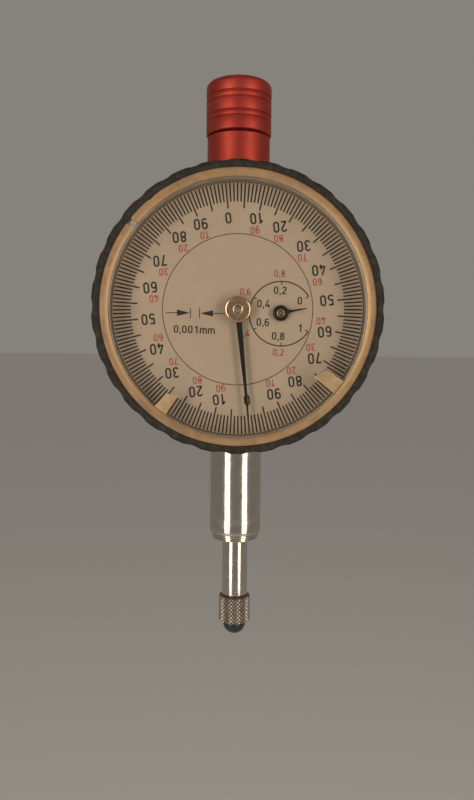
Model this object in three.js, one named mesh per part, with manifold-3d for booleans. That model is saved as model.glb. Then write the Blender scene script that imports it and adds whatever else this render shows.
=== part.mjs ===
// Small dial indicator, 0.001 mm reading, 0.2 mm of plunger travel to one turn of the long hand.
// Millimetres. The plunger axis is Z, the dial faces -Y, and the origin is the clamping point on the
// stem axis. Shapes are drawn with heights counted from the dial centre, then lifted by DIAL_HEIGHT.
import * as THREE from 'three';
import { mergeVertices } from 'three/addons/utils/BufferGeometryUtils.js';
import Module from 'manifold-3d';

const wasm = await Module();
wasm.setup();

// driving dimensions
const DIAL_HEIGHT = 28;
const STEM_R = 4;
const STEM_END = -35.35;
const STEM_TOP = -15.5;
const PLUNGER_R = 2;
const CAP_R = 4.95;
const TIP_R = 1.8;
const CASE_R = 18.3;
const CASE_FRONT = -7.1;
const CASE_BACK = 5.8;
const BEZEL_R = 19.58;
const BEZEL_BACK = -5.2;
const GRIP_R = 20.42;
const GRIP_LOBES = 30;
const DIAL_R = 18.05;
const DIAL_FACE = -8.4;
const DIAL_BACK = -8.0;
const BEZEL_FRONT = -11.9;
const CRYSTAL_R = 18.5;
const CRYSTAL_FRONT = -11.4;
const CRYSTAL_BACK = -10.4;
const INNER_DIAL_R = 10.78;
const DIAL_GAP = 0.08;
const RUNNING_GAP = 0.3;
const FRONT_RING_GAP = 142;
const PRY_NOTCH = 129;
const MARKER_ROOT = 18.4;
const MARKER_LAYER = [-11.85, -11.55];
const FINE = 60;

// tooth counts: 0.2 mm per turn of the long hand needs 120/12 * 80/10 and a 2.55 mm lever
const PINION_TEETH = 10;
const COUNTER_TEETH = 60;
const TRANSFER_TEETH = 80;
const TRANSFER_PINION_TEETH = 12;
const SECTOR_TEETH = 120;
const SECTOR_MODULE = 0.2;
const LEVER = 2.55;

// layout of the movement, as [x, height] from the dial centre
const COUNTER = [6.15, -0.45];
const TRAIN_MODULE = 2 * Math.hypot(...COUNTER) / (PINION_TEETH + COUNTER_TEETH);
const TRANSFER = [-TRAIN_MODULE * (PINION_TEETH + TRANSFER_TEETH) / 2, 0];
const SECTOR_REACH = SECTOR_MODULE * (SECTOR_TEETH + TRANSFER_PINION_TEETH) / 2;
const SECTOR = [LEVER, -Math.sqrt(SECTOR_REACH ** 2 - (LEVER - TRANSFER[0]) ** 2)];
const LUG_ANGLES = [35, 145, 215, 325];
const LUG_RADIUS = 14.95;
const PILLARS = [[5.3, 10.3], [-4.9, 10.8], [8.0, -9.2], [-5.6, -10.6]];
const FRONT_PLATE = [-7.0, -6.2];
const REAR_PLATE = [-3.1, -2.4];
const LEVER_REST = 191.25;
const FINGER_HALF = 0.5;
const DRIVE_PIN_R = 0.4;
const HAND_REST = -84.7;
const COUNTER_REST = 11;

const group = new THREE.Group();
group.name = 'dial_indicator';

const radians = (degrees) => degrees * Math.PI / 180;
const polar = (radius, degrees, [x, h] = [0, 0]) => [
  x + radius * Math.cos(radians(degrees)),
  h + radius * Math.sin(radians(degrees)),
];
const bearing = ([x, h], [x2, h2]) => Math.atan2(h2 - h, x2 - x) * 180 / Math.PI;

function signedVolume(geometry) {
  const p = geometry.attributes.position;
  const index = geometry.index.array;
  const [a, b, c] = [new THREE.Vector3(), new THREE.Vector3(), new THREE.Vector3()];
  let sum = 0;
  for (let i = 0; i < index.length; i += 3) {
    a.fromBufferAttribute(p, index[i]);
    b.fromBufferAttribute(p, index[i + 1]);
    c.fromBufferAttribute(p, index[i + 2]);
    sum += a.dot(b.cross(c)) / 6;
  }
  return sum;
}

// one shared vertex per corner, no empty triangles, faces outward
function weld(geometry) {
  const bare = geometry.clone();
  bare.deleteAttribute('normal');
  bare.deleteAttribute('uv');
  const merged = mergeVertices(bare, 1e-5);
  const index = merged.index.array;
  const kept = [];
  for (let i = 0; i < index.length; i += 3) {
    const [a, b, c] = [index[i], index[i + 1], index[i + 2]];
    if (a !== b && b !== c && c !== a) kept.push(a, b, c);
  }
  merged.setIndex(kept);
  if (signedVolume(merged) > 0) return merged;
  const flipped = [];
  for (let i = 0; i < kept.length; i += 3) flipped.push(kept[i], kept[i + 2], kept[i + 1]);
  merged.setIndex(flipped);
  return merged;
}

function toSolid(geometry) {
  const g = weld(geometry);
  const vertProperties = Float32Array.from(g.attributes.position.array);
  const triVerts = Uint32Array.from(g.index.array);
  return new wasm.Manifold(new wasm.Mesh({ numProp: 3, vertProperties, triVerts }));
}

function fromSolid(solid) {
  const mesh = solid.getMesh();
  const g = new THREE.BufferGeometry();
  g.setAttribute('position', new THREE.BufferAttribute(Float32Array.from(mesh.vertProperties), 3));
  g.setIndex(Array.from(mesh.triVerts));
  return g;
}

const cut = (base, ...tools) => fromSolid(
  tools.reduce((solid, tool) => solid.subtract(toSolid(tool)), toSolid(base)),
);
const fuse = (base, ...others) => fromSolid(
  others.reduce((solid, other) => solid.add(toSolid(other)), toSolid(base)),
);

// turned about an axis along Y: profile of [radius, y]; a ring's profile closes on itself
function turnedY(profile, segments, [x, h] = [0, 0]) {
  const g = new THREE.LatheGeometry(profile.map((p) => new THREE.Vector2(p[0], p[1])), segments);
  g.translate(x, 0, h);
  return g;
}

// turned about an axis along Z: profile of [radius, height]
function turnedZ(profile, segments, x = 0, y = 0) {
  const g = new THREE.LatheGeometry(profile.map((p) => new THREE.Vector2(p[0], p[1])), segments);
  g.rotateX(Math.PI / 2);
  g.translate(x, y, 0);
  return g;
}

const rod = (r, from, to) => [[0, from], [r, from], [r, to], [0, to]];
const ring = (inner, outer, from, to) => [
  [inner, from], [outer, from], [outer, to], [inner, to], [inner, from],
];
const rodY = (r, y0, y1, at, segments = 16) => turnedY(rod(r, y0, y1), segments, at);
const rodZ = (r, z0, z1, segments = 24, x = 0, y = 0) => turnedZ(rod(r, z0, z1), segments, x, y);

// a flat shape drawn in x and height, from y0 back to y1
function sheet(outline, y0, y1, holes = []) {
  const shape = new THREE.Shape(outline.map((p) => new THREE.Vector2(p[0], p[1])));
  shape.holes = holes.map((hole) => new THREE.Path(hole.map((p) => new THREE.Vector2(p[0], p[1]))));
  const g = new THREE.ExtrudeGeometry(shape, { depth: y1 - y0, bevelEnabled: false });
  g.rotateX(Math.PI / 2);
  g.translate(0, y1, 0);
  return g;
}

const circle = (r, at = [0, 0], count = 16, from = 0) => Array.from(
  { length: count },
  (_, i) => polar(r, from + 360 * i / count, at),
);

function block(x0, x1, y0, y1, z0, z1) {
  const g = new THREE.BoxGeometry(x1 - x0, y1 - y0, z1 - z0);
  g.translate((x0 + x1) / 2, (y0 + y1) / 2, (z0 + z1) / 2);
  return g;
}

// gear teeth between two angles as outline points; toothAt is the angle of one tooth's middle
function teeth(count, module, at, toothAt, first = 0, last = count) {
  const pitch = 360 / count;
  const r = module * count / 2;
  const tip = r + 0.85 * module;
  const root = r - 1.15 * module;
  const points = [];
  for (let i = first; i < last; i += 1) {
    const middle = toothAt + i * pitch;
    points.push(polar(root, middle - 0.28 * pitch, at));
    points.push(polar(tip, middle - 0.10 * pitch, at));
    points.push(polar(tip, middle + 0.10 * pitch, at));
    points.push(polar(root, middle + 0.28 * pitch, at));
  }
  return points;
}

// the fine teeth of a wheel or sector, pointed, two outline points to a tooth
function pointedTeeth(count, module, at, toothAt, first = 0, last = count) {
  const pitch = 360 / count;
  const r = module * count / 2;
  const points = [];
  for (let i = first; i < last; i += 1) {
    points.push(polar(r - 1.1 * module, toothAt + (i - 0.5) * pitch, at));
    points.push(polar(r + 0.8 * module, toothAt + i * pitch, at));
  }
  return points;
}

// the tooth angle that puts gear b in mesh with gear a at rest
function meshAngle(aTeeth, aAngle, aAt, bTeeth, bAt) {
  const line = bearing(aAt, bAt);
  return line + 180 + (180 - aTeeth * (aAngle - line)) / bTeeth;
}

function add(name, geometry, colour, roughness = 0.5, metalness = 0) {
  const g = weld(geometry);
  g.translate(0, 0, DIAL_HEIGHT);
  g.computeVertexNormals();
  const material = new THREE.MeshStandardMaterial({ color: colour, roughness, metalness });
  const mesh = new THREE.Mesh(g, material);
  mesh.name = name;
  group.add(mesh);
}

const STEEL = [0xb9bcc0, 0.3, 1];
const SATIN = [0xb8b4aa, 0.5, 1];
const BRASS = [0xc9a458, 0.35, 1];
const RED = [0xa83a2c, 0.4, 0.8];
const BLACK = [0x16181b, 0.8, 0];
const PRINT = [0xd9cfbd, 0.6, 0];

// ---- housing -----------------------------------------------------------------------------------

// turned case with four screw lugs inside and a flat shoulder where the stem and the neck leave it
function caseRing() {
  const bore = CASE_R - 2.3;
  const recess = CASE_R - 1.7;
  const wall = turnedY([
    [bore, CASE_BACK], [CASE_R - 0.6, CASE_BACK], [CASE_R, CASE_BACK - 0.6], [CASE_R, CASE_FRONT + 0.3],
    [CASE_R - 0.3, CASE_FRONT], [recess, CASE_FRONT], [recess, FRONT_PLATE[1]], [bore, FRONT_PLATE[1]],
    [bore, CASE_BACK],
  ], FINE);
  const lugs = LUG_ANGLES.map((a) => rodY(1.7, -6.2, CASE_BACK, polar(LUG_RADIUS, a), 12));
  const bosses = [rodZ(4.75, -19.4, -16.7, 32), rodZ(4.75, 16.7, 18.7, 32)];
  const screwHoles = LUG_ANGLES.flatMap((a) => [
    rodY(0.55, 2.3, 7, polar(LUG_RADIUS, a), 8),
    rodY(0.55, -7, -3.2, polar(LUG_RADIUS, a), 8),
  ]);
  return cut(
    fuse(wall, ...lugs, ...bosses),
    rodZ(STEM_R + 0.02, -21, -14, 32),
    rodZ(3.22, 14, 21, 32),
    ...screwHoles,
  );
}

// clamping stem with a turned nose and a seat for the lower guide bush
function stem() {
  return turnedZ([
    [2.4, -29], [3.0, -29], [3.0, STEM_END], [3.45, STEM_END], [3.65, STEM_END + 0.2],
    [3.65, STEM_END + 1.0], [STEM_R, STEM_END + 1.15], [STEM_R, STEM_TOP], [2.4, STEM_TOP], [2.4, -29],
  ], 32);
}

function lowerBush() {
  return turnedZ([
    [PLUNGER_R + 0.05, STEM_END + 0.2], [2.2, STEM_END], [2.98, STEM_END], [2.98, -29.1],
    [PLUNGER_R + 0.05, -29.1], [PLUNGER_R + 0.05, STEM_END + 0.2],
  ], 24);
}

// upper guide bush, pressed through the case; the lifting cap closes over its end
function upperBush() {
  return turnedZ([
    [1.56, 15.5], [3.2, 15.5], [3.2, 28.2], [2.9, 28.5], [1.56, 28.5], [1.56, 15.5],
  ], 32);
}

// red sleeve that covers the guide bush between the case and the lifting cap
function neckSleeve() {
  return turnedZ([
    [3.24, 18.75], [4.76, 18.75], [4.76, 26.2], [4.46, 26.5], [3.24, 26.5], [3.24, 18.75],
  ], 32);
}

function backCover() {
  const plate = turnedY([
    [0, 6.0], [17.5, 6.0], [17.7, 6.3], [17.3, 7.0], [16.9, 7.2], [0, 7.2],
  ], FINE);
  const holes = LUG_ANGLES.flatMap((a) => [
    rodY(0.65, 5, 8, polar(LUG_RADIUS, a), 10),
    rodY(1.3, 6.6, 8, polar(LUG_RADIUS, a), 14),
  ]);
  return cut(plate, ...holes);
}

const gasket = () => turnedY(ring(16.75, 17.5, CASE_BACK, 6.0), FINE);

// cheese-head screw along Y; the head side is where `head` lies
function screw(at, head, neck, tip, headR, shankR, slotTurn) {
  const body = turnedY([
    [0, head], [headR, head], [headR, neck], [shankR, neck], [shankR, tip], [0, tip],
  ], 10, at);
  const depth = Math.abs(neck - head) * 0.55;
  const slot = block(-2, 2, head - depth, head + depth, -0.15, 0.15);
  slot.rotateY(radians(slotTurn));
  slot.translate(at[0], 0, at[1]);
  return cut(body, slot);
}

const frontPlate = () => cut(
  turnedY(rod(CASE_R - 1.8, ...FRONT_PLATE), FINE),
  rodY(0.62, -8, -5, [0, 0], 12),
  rodY(0.45, -8, -5, COUNTER, 12),
  rodY(0.27, -8, -5, TRANSFER, 10),
  rodY(0.32, -8, -5, SECTOR, 10),
  ...LUG_ANGLES.map((a) => rodY(0.6, -8, -5, polar(LUG_RADIUS, a), 10)),
  ...PILLARS.map((p) => rodY(0.62, -8, -5, p, 10)),
);

// the rear plate leaves the plunger's collars and the drive pin free
const rearPlate = () => cut(
  turnedY(rod(13.0, ...REAR_PLATE), 40),
  block(-3.4, 3.4, -4, 0, 7.6, 15),
  block(-3.4, 3.4, -4, 0, -15, -12.3),
  block(-0.75, 0.75, -4, 0, -12.5, -6.9),
  rodY(0.32, -4, 0, [0, 0], 10),
  rodY(0.25, -4, 0, COUNTER, 10),
  rodY(0.27, -4, 0, TRANSFER, 10),
  rodY(0.32, -4, 0, SECTOR, 10),
  ...PILLARS.map((p) => rodY(0.62, -4, 0, p, 10)),
);

const pillar = (at) => turnedY([
  [0, -7.0], [0.6, -7.0], [0.6, -6.2], [1.0, -6.2], [1.0, -3.1], [0.6, -3.1], [0.6, -2.2], [0, -2.2],
], 10, at);

// slotted block on the rear plate that keeps the plunger from turning
const guideBlock = () => cut(
  block(-5.5, -3.3, REAR_PLATE[1], 2.0, 3.8, 9.4),
  block(-5.2, -3, -0.56, 0.56, 3, 10),
);

// fixed inner dial on two feet
const innerDial = () => fuse(
  cut(
    turnedY(rod(INNER_DIAL_R, DIAL_FACE, DIAL_BACK), FINE),
    rodY(0.7, -9, -7, [0, 0]),
    rodY(0.55, -9, -7, COUNTER),
  ),
  rodY(0.6, DIAL_BACK - 0.1, FRONT_PLATE[0], [-4.5, 6.6], 12),
  rodY(0.6, DIAL_BACK - 0.1, FRONT_PLATE[0], [-1.5, -8.5], 12),
);

function hairspring() {
  const turns = 3.5;
  const steps = Math.round(turns * 16);
  const arm = (offset) => Array.from({ length: steps + 1 }, (_, i) => {
    const t = i / steps;
    return polar(0.72 + 2.2 * t + offset, 40 + 360 * turns * t - 360 * turns, COUNTER);
  });
  return sheet([...arm(0.05), ...arm(-0.05).reverse()], -5.1, -4.8);
}

const hairspringStud = () => rodY(0.45, -5.3, REAR_PLATE[0], polar(3.45, 40, COUNTER), 14);

// coil spring around the plunger, from the collar up to the guide bush
function returnSpring() {
  const turns = 6;
  const points = Array.from({ length: turns * 10 + 1 }, (_, i) => {
    const a = 2 * Math.PI * i / 10;
    return new THREE.Vector3(2.52 * Math.cos(a), 2.52 * Math.sin(a), 9.85 + 5.3 * i / (turns * 10));
  });
  const wire = new THREE.Shape(circle(0.22, [0, 0], 5).map((p) => new THREE.Vector2(p[0], p[1])));
  return new THREE.ExtrudeGeometry(wire, {
    steps: turns * 10,
    extrudePath: new THREE.CatmullRomCurve3(points),
    bevelEnabled: false,
  });
}

// ---- plunger -----------------------------------------------------------------------------------

const plungerRod = () => turnedZ([
  [0, -45.6], [1.2, -45.6], [1.2, -44.45], [PLUNGER_R - 0.15, -44.45], [PLUNGER_R, -44.3],
  [PLUNGER_R, -15.4], [3.0, -15.4], [3.0, -14.3], [PLUNGER_R, -14.3],
  [PLUNGER_R, 8.2], [2.9, 8.2], [2.9, 9.5], [PLUNGER_R, 9.5],
  [PLUNGER_R, 14.0], [1.5, 14.0], [1.5, 31.8], [0, 31.8],
], 24);

// knurled contact point with the socket for the plunger's stub
const contactPoint = () => turnedZ([
  [0, -45.8], [1.25, -45.8], [1.25, -44.45], [2.2, -44.45], [2.5, -44.75],
  [2.5, -48.5], [2.2, -48.8], [1.0, -48.8], [1.0, -47.6], [0, -47.6],
], 28);

const contactTip = () => turnedZ([
  [0, -47.7], [0.95, -47.7], [0.95, -48.8], [TIP_R, -48.8],
  ...[0, 15, 30, 45, 60, 75].map((a) => [
    TIP_R * Math.cos(radians(a)), -49.0 - TIP_R * Math.sin(radians(a)),
  ]),
  [0, -49.0 - TIP_R],
], 24);

// lifting cap with two pairs of fine grooves for the fingertips and a rounded rim
const liftingCap = () => turnedZ([
  [3.6, 26.6], [4.8, 26.6], [CAP_R, 26.75], [CAP_R, 28.45], [4.75, 28.57], [CAP_R, 28.69],
  [CAP_R, 29.28], [4.75, 29.4], [CAP_R, 29.52], [CAP_R, 31.2], [4.75, 31.32], [CAP_R, 31.44],
  [CAP_R, 32.09], [4.75, 32.21], [CAP_R, 32.33], [CAP_R, 33.7], [4.7, 34.2], [4.1, 34.5], [3.4, 34.6],
  [0, 34.6], [0, 32.0], [1.55, 32.0], [1.55, 30.2], [3.6, 30.2], [3.6, 26.6],
], 32);

// the pin stands just under the finger at rest
function drivePin() {
  const slope = radians(LEVER_REST - 180);
  const under = (FINGER_HALF + DRIVE_PIN_R + 0.05) / Math.cos(slope);
  return rodY(DRIVE_PIN_R, -4.35, -1.99, [0, SECTOR[1] - LEVER * Math.tan(slope) - under], 12);
}

function guidePin() {
  const g = rodZ(0.5, 1.99, 5.05, 12);
  g.rotateY(-Math.PI / 2);
  g.translate(0, 0, 6.2);
  return g;
}

// ---- hands and train ---------------------------------------------------------------------------

const pinionAngle = bearing([0, 0], COUNTER);
const counterAngle = meshAngle(PINION_TEETH, pinionAngle, [0, 0], COUNTER_TEETH, COUNTER);
const transferAngle = meshAngle(PINION_TEETH, pinionAngle, [0, 0], TRANSFER_TEETH, TRANSFER);
const transferPinionAngle = bearing(TRANSFER, SECTOR);
const sectorAngle = meshAngle(
  TRANSFER_PINION_TEETH, transferPinionAngle, TRANSFER, SECTOR_TEETH, SECTOR,
);

const mainArbor = () => fuse(
  turnedY([
    [0, -10.12], [0.25, -10.12], [0.42, -10.0], [0.5, -9.9], [0.5, -6.1], [0.62, -6.1], [0.62, -4.5],
    [0.42, -4.5], [0.42, -3.2], [0.26, -3.2], [0.26, -2.5], [0, -2.5],
  ], 12),
  sheet(teeth(PINION_TEETH, TRAIN_MODULE, [0, 0], pinionAngle), -6.0, -4.6),
);

// the boss grips the arbor and holds the long hand against its shoulder
const handBoss = () => turnedY([
  [0.52, -10.0], [0.75, -10.15], [1.7, -10.15], [1.93, -9.9], [1.93, -9.6], [1.0, -9.6],
  [1.0, -8.75], [0.52, -8.75], [0.52, -10.0],
], 24);

// a tapering hand with a round eye, pointing at `angle`
function hand(at, angle, eyeR, boreR, length, rootHalf, tipHalf, y0, y1) {
  const rootAngle = Math.asin(rootHalf / eyeR) * 180 / Math.PI;
  const eye = Array.from(
    { length: 21 },
    (_, i) => polar(eyeR, angle + rootAngle + (360 - 2 * rootAngle) * i / 20, at),
  );
  const shoulder = polar(length - 0.3, angle, at);
  const blade = [
    polar(tipHalf, angle - 90, shoulder), polar(length, angle, at), polar(tipHalf, angle + 90, shoulder),
  ];
  return sheet([...eye, ...blade], y0, y1, [circle(boreR, at, 20).reverse()]);
}

const mainHand = () => hand([0, 0], HAND_REST, 1.65, 1.02, 16.0, 0.42, 0.12, -9.58, -9.38);
const counterHand = () => hand(COUNTER, COUNTER_REST, 1.15, 0.37, 3.8, 0.22, 0.07, -9.12, -8.95);

const counterArbor = () => turnedY([
  [0, -9.2], [0.25, -9.2], [0.35, -9.1], [0.35, -5.15], [0.62, -5.15], [0.62, -4.75],
  [0.35, -4.75], [0.35, -3.2], [0.2, -3.2], [0.2, -2.6], [0, -2.6],
], 12, COUNTER);

const spokeHoles = (at, holeR, ringR, count, turn) => Array.from(
  { length: count },
  (_, i) => circle(holeR, polar(ringR, turn + 360 * i / count, at), 10).reverse(),
);

const counterWheel = () => sheet(
  pointedTeeth(COUNTER_TEETH, TRAIN_MODULE, COUNTER, counterAngle), -5.9, -5.5,
  [circle(0.36, COUNTER, 16).reverse(), ...spokeHoles(COUNTER, 1.35, 3.1, 5, 20)],
);

const transferArbor = () => fuse(
  turnedY([
    [0, -6.9], [0.22, -6.9], [0.22, -6.1], [0.5, -6.1], [0.5, -3.2], [0.22, -3.2], [0.22, -2.5], [0, -2.5],
  ], 12, TRANSFER),
  sheet(teeth(TRANSFER_PINION_TEETH, SECTOR_MODULE, TRANSFER, transferPinionAngle), -4.5, -3.4),
);

const transferWheel = () => sheet(
  pointedTeeth(TRANSFER_TEETH, TRAIN_MODULE, TRANSFER, transferAngle), -5.1, -4.7,
  [circle(0.51, TRANSFER, 16).reverse(), ...spokeHoles(TRANSFER, 1.9, 4.2, 5, 40)],
);

const sectorArbor = () => turnedY([
  [0, -6.9], [0.27, -6.9], [0.27, -6.1], [0.6, -6.1], [0.6, -3.2], [0.27, -3.2], [0.27, -2.5], [0, -2.5],
], 12, SECTOR);

// toothed sector, its arm, and the short finger that rests on the drive pin
function sectorLever() {
  const line = bearing(SECTOR, TRANSFER);
  const pitch = 360 / SECTOR_TEETH;
  const shift = Math.ceil((line - 3.5 - sectorAngle) / pitch);
  const start = sectorAngle + shift * pitch;
  const rim = [
    ...pointedTeeth(SECTOR_TEETH, SECTOR_MODULE, SECTOR, start, 0, 12),
    ...Array.from({ length: 9 }, (_, i) => polar(10.8, start + 30 - 30 * i / 8, SECTOR)),
  ];
  const arm = [
    polar(1.1, start + 75, SECTOR), polar(11.2, start + 19, SECTOR), polar(11.2, start + 11, SECTOR),
    polar(1.1, start - 40, SECTOR),
  ];
  const fingerEnd = polar(LEVER + 0.75, LEVER_REST, SECTOR);
  const finger = [
    polar(FINGER_HALF, LEVER_REST + 90, SECTOR),
    polar(FINGER_HALF, LEVER_REST + 90, fingerEnd),
    polar(FINGER_HALF, LEVER_REST - 90, fingerEnd),
    polar(FINGER_HALF, LEVER_REST - 90, SECTOR),
  ];
  return cut(
    fuse(
      sheet(rim, -4.2, -3.7), sheet(arm, -4.2, -3.7), sheet(finger, -4.2, -3.7),
      sheet(circle(1.5, SECTOR, 24), -4.2, -3.7),
    ),
    rodY(0.61, -5, -3, SECTOR),
  );
}

// ---- bezel -------------------------------------------------------------------------------------

// crystal seat, dial seat and ledge inside, skirt over the case behind
function bezelRing() {
  const skirt = CASE_R + RUNNING_GAP;
  const ledge = DIAL_R - 0.65;
  return turnedY([
    [skirt, BEZEL_BACK], [BEZEL_R - 0.3, BEZEL_BACK], [BEZEL_R, BEZEL_BACK - 0.3],
    [BEZEL_R, BEZEL_FRONT], [CRYSTAL_R + 0.05, BEZEL_FRONT], [CRYSTAL_R + 0.05, CRYSTAL_BACK],
    [DIAL_R + 0.05, CRYSTAL_BACK], [DIAL_R + 0.05, DIAL_BACK], [ledge, DIAL_BACK],
    [ledge, DIAL_BACK + 0.5], [skirt, DIAL_BACK + 0.5], [skirt, BEZEL_BACK],
  ], FINE);
}

// split ring that holds the crystal in, with a round notch for prying it out
function frontRing() {
  const [inner, outer] = [18.03, 19.55];
  const back = BEZEL_FRONT - 0.05;
  const front = back - 0.4;
  const gap = block(15, 22, front - 1, back + 1, -0.45, 0.45);
  gap.rotateY(radians(-FRONT_RING_GAP));
  return cut(turnedY([
    [inner + 0.15, back], [inner, back - 0.2], [inner + 0.2, front], [outer - 0.18, front],
    [outer, back - 0.2], [outer, back], [inner + 0.15, back],
  ], FINE), gap, rodY(1.1, front - 1, back + 1, polar(outer + 0.6, PRY_NOTCH)));
}

// rubber grip ring: a wide shallow scallop between each two lobes, and a lip over the front ring
function gripRing() {
  const inner = BEZEL_R + 0.02;
  const body = turnedY([
    [inner, -5.4], [GRIP_R - 0.3, -5.4], [GRIP_R, -5.8], [GRIP_R, -12.1], [GRIP_R - 0.45, -12.6],
    [19.6, -12.7], [19.27, -12.42], [inner, -12.38], [inner, -5.4],
  ], FINE);
  const [scallopR, scallopDepth] = [3.2, 0.28];
  const scallops = Array.from({ length: GRIP_LOBES }, (_, i) => rodY(
    scallopR, -14, -4, polar(GRIP_R - scallopDepth + scallopR, 360 * i / GRIP_LOBES), 32,
  ));
  return cut(body, ...scallops);
}

const crystal = () => turnedY([
  [0, CRYSTAL_BACK], [CRYSTAL_R, CRYSTAL_BACK], [CRYSTAL_R, CRYSTAL_FRONT + 0.2],
  [CRYSTAL_R - 0.2, CRYSTAL_FRONT], [0, CRYSTAL_FRONT],
], FINE);

const outerDial = () => turnedY(
  ring(INNER_DIAL_R + DIAL_GAP, DIAL_R, DIAL_FACE, DIAL_BACK), FINE,
);

// tolerance marker: a tapering tab that slides between crystal and front ring; its inner end is
// slanted, longer on the side towards the other marker
function marker(angle, longSide, reach, rootHalf, endHalf) {
  const slant = 0.77;
  const corner = (r, across) => polar(across, angle + 90, polar(r, angle));
  return sheet([
    corner(MARKER_ROOT, -rootHalf), corner(MARKER_ROOT + 0.05, 0), corner(MARKER_ROOT, rootHalf),
    corner(reach + (longSide > 0 ? 0 : slant), endHalf),
    corner(reach + (longSide > 0 ? slant : 0), -endHalf),
  ], ...MARKER_LAYER);
}

add('case_ring', caseRing(), ...SATIN);
add('stem', stem(), ...STEEL);
add('lower_bush', lowerBush(), ...BRASS);
add('upper_bush', upperBush(), ...STEEL);
add('neck_sleeve', neckSleeve(), ...RED);
add('back_cover', backCover(), ...SATIN);
add('gasket', gasket(), ...BLACK);
LUG_ANGLES.forEach((a, i) => add(
  `cover_screw_${i + 1}`,
  screw(polar(LUG_RADIUS, a), 7.2, 6.65, 3.0, 1.2, 0.5, 30 + 40 * i), ...STEEL,
));
add('front_plate', frontPlate(), ...BRASS);
add('rear_plate', rearPlate(), ...BRASS);
PILLARS.forEach((p, i) => add(`pillar_${i + 1}`, pillar(p), ...BRASS));
LUG_ANGLES.forEach((a, i) => add(
  `plate_screw_${i + 1}`,
  screw(polar(LUG_RADIUS, a), -7.45, -7.0, -4.0, 1.0, 0.5, 15 + 50 * i), ...STEEL,
));
add('guide_block', guideBlock(), ...BRASS);
add('inner_dial', innerDial(), ...PRINT);
add('hairspring_stud', hairspringStud(), ...BRASS);
add('hairspring', hairspring(), ...STEEL);
add('return_spring', returnSpring(), ...STEEL);

add('plunger_rod', plungerRod(), ...STEEL);
add('contact_point', contactPoint(), ...STEEL);
add('contact_tip', contactTip(), ...STEEL);
add('lifting_cap', liftingCap(), ...RED);
add('drive_pin', drivePin(), ...STEEL);
add('guide_pin', guidePin(), ...STEEL);

add('main_arbor', mainArbor(), ...STEEL);
add('hand_boss', handBoss(), ...BRASS);
add('main_hand', mainHand(), ...BLACK);
add('counter_arbor', counterArbor(), ...STEEL);
add('counter_wheel', counterWheel(), ...BRASS);
add('counter_hand', counterHand(), ...BLACK);
add('transfer_arbor', transferArbor(), ...STEEL);
add('transfer_wheel', transferWheel(), ...BRASS);
add('sector_arbor', sectorArbor(), ...STEEL);
add('sector_lever', sectorLever(), ...BRASS);

add('bezel_ring', bezelRing(), ...SATIN);
add('front_ring', frontRing(), ...SATIN);
add('grip_ring', gripRing(), ...BLACK);
add('crystal', crystal(), 0xe8eef0, 0.1, 0);
add('outer_dial', outerDial(), ...PRINT);
add('marker_low', marker(233, 1, 14.7, 1.0, 0.7), ...BRASS);
add('marker_high', marker(322.5, -1, 14.3, 1.07, 0.95), ...BRASS);

export default group;
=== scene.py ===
# A small dial indicator: a sprung plunger in a clamping stem, a geared movement in a turned case,
# and a dial under a turning bezel. Metres; the plunger axis is Z, the dial faces -Y, and the origin
# is the clamping point on the stem.
from math import atan2, cos, hypot, pi, radians, sin

import bpy
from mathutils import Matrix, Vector


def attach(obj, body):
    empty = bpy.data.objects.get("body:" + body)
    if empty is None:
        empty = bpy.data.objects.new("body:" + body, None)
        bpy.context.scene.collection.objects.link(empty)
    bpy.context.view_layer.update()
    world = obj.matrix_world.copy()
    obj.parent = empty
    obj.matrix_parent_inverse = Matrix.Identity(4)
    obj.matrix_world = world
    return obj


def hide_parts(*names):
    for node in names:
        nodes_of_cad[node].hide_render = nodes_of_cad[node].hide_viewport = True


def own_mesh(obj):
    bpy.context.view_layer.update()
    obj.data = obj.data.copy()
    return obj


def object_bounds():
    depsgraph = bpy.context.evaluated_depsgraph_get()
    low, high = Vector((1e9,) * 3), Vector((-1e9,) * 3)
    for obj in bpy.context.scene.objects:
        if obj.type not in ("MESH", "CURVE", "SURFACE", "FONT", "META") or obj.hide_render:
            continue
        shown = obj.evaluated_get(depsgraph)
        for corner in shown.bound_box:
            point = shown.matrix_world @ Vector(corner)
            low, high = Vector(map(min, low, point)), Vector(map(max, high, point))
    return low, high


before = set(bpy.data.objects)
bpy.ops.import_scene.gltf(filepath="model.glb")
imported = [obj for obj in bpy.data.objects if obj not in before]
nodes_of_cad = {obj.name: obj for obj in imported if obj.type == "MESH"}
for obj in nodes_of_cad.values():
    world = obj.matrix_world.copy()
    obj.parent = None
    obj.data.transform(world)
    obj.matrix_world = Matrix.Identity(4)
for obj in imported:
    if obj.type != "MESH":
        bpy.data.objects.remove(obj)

cad_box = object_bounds()

# ---- Camera -------------------------------------------------------------------------------------
# It stands in front of the dial, a little under its centre, and looks slightly down.
bpy.ops.object.camera_add(
    location=(-0.00119, -0.114, 0.02214),
    rotation=(radians(90 - 3.87), radians(-0.55), radians(-0.62)),
)
camera = bpy.context.object
camera.data.lens = 32.85
camera.data.clip_start = 0.005
bpy.context.scene.camera = camera

# ---- Studio -------------------------------------------------------------------------------------
# A pale matt floor well under the part, so that the two tall soft panels in front draw their long
# streaks down the whole of the ground steel, and a dim warm room.
bpy.ops.object.select_all(action="DESELECT")
bpy.ops.mesh.primitive_plane_add(size=60, location=(0, 0, cad_box[0].z - 0.14))
floor = bpy.context.object
floor.name = "studio_floor"

floor_paint = bpy.data.materials.new("studio_floor_paint")
floor_paint.use_nodes = True
floor_shader = floor_paint.node_tree.nodes["Principled BSDF"]
floor_shader.inputs["Base Color"].default_value = (0.84, 0.83, 0.81, 1)
floor_shader.inputs["Roughness"].default_value = 0.85
floor.data.materials.append(floor_paint)


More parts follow.
